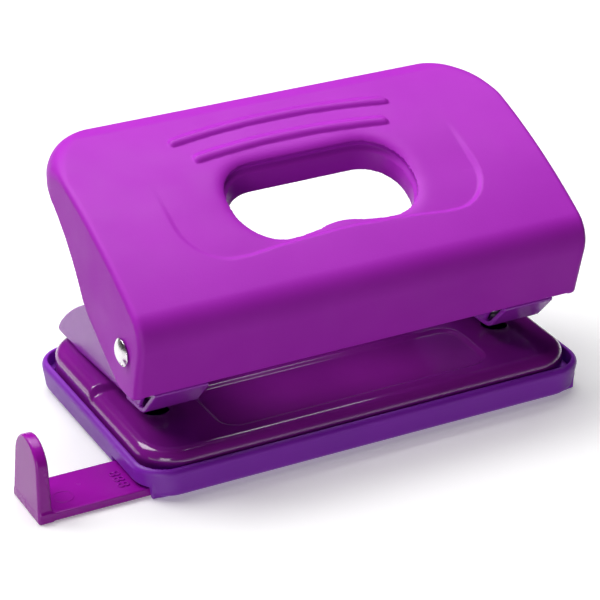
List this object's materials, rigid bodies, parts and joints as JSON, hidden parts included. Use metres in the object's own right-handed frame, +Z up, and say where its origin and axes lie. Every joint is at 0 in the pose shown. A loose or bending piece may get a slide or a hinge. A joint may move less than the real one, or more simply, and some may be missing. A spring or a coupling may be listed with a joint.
{
  "type": "hole punch",
  "caption": "Desk paper punch for two holes, with a curved plastic handle on a sprung lever, steel base and brackets, a chip tray and a sliding paper guide.",
  "frame": {"origin": "centre of the chip tray's underside, on the surface that the punch stands on", "axes": "+X along the tray to the user's right, +Y to the back, away from the side where paper goes in, +Z up"},
  "size_m": [0.1248, 0.0592, 0.0575],
  "materials": {
    "tray_plastic": "satin violet moulded plastic",
    "plate_paint": "glossy plum enamel on pressed steel",
    "bracket_paint": "glossy purple enamel on pressed steel",
    "fastener_steel": "zinc-plated steel",
    "bare_steel": "plain turned steel",
    "pin_steel": "ground hardened steel",
    "spring_steel": "drawn spring wire",
    "rivet_nickel": "polished nickel plate",
    "handle_plastic": "soft-touch magenta purple coating on moulded plastic",
    "guide_plastic": "glossy magenta moulded plastic"
  },
  "bodies": {
    "tray": {"chip_tray": "tray_plastic"},
    "chassis": {"base_plate": "plate_paint", "left_bracket": "bracket_paint", "right_bracket": "bracket_paint", "bracket_rivets": "fastener_steel", "left_guide_bush": "bare_steel", "right_guide_bush": "bare_steel", "left_pivot_rivet": "rivet_nickel", "right_pivot_rivet": "rivet_nickel", "left_pivot_washer": "fastener_steel", "right_pivot_washer": "fastener_steel", "left_return_spring": "spring_steel", "right_return_spring": "spring_steel"},
    "handle": {"handle": "handle_plastic", "left_press_pad": "bare_steel", "right_press_pad": "bare_steel"},
    "left_pin": {"left_punch_pin": "pin_steel", "left_retaining_ring": "spring_steel"},
    "right_pin": {"right_punch_pin": "pin_steel", "right_retaining_ring": "spring_steel"},
    "guide": {"paper_guide": "guide_plastic"}
  },
  "joints": [
    {"name": "tray_release", "type": "slide", "parent": "tray", "child": "chassis", "axis": [0, 0, 1], "range_m": [0, 0.04]},
    {"name": "handle_press", "type": "hinge", "parent": "chassis", "child": "handle", "pos_m": [0, -0.0188, 0.0295], "axis": [-1, 0, 0], "range_deg": [0, 32], "stiffness_Nm_per_rad": 0.25, "springref_deg": -14.32},
    {"name": "left_pin_travel", "type": "slide", "parent": "chassis", "child": "left_pin", "axis": [0, 0, -1], "range_m": [0, 0.00564], "deforming": ["left_return_spring"]},
    {"name": "right_pin_travel", "type": "slide", "parent": "chassis", "child": "right_pin", "axis": [0, 0, -1], "range_m": [0, 0.00564], "deforming": ["right_return_spring"]},
    {"name": "guide_slide", "type": "slide", "parent": "tray", "child": "guide", "axis": [1, 0, 0], "range_m": [-0.0645, 0.0175]}
  ],
  "couplings": [
    {"joint": "left_pin_travel", "follows": "handle_press", "m_per_rad": 0.010063},
    {"joint": "right_pin_travel", "follows": "handle_press", "m_per_rad": 0.010063}
  ]
}
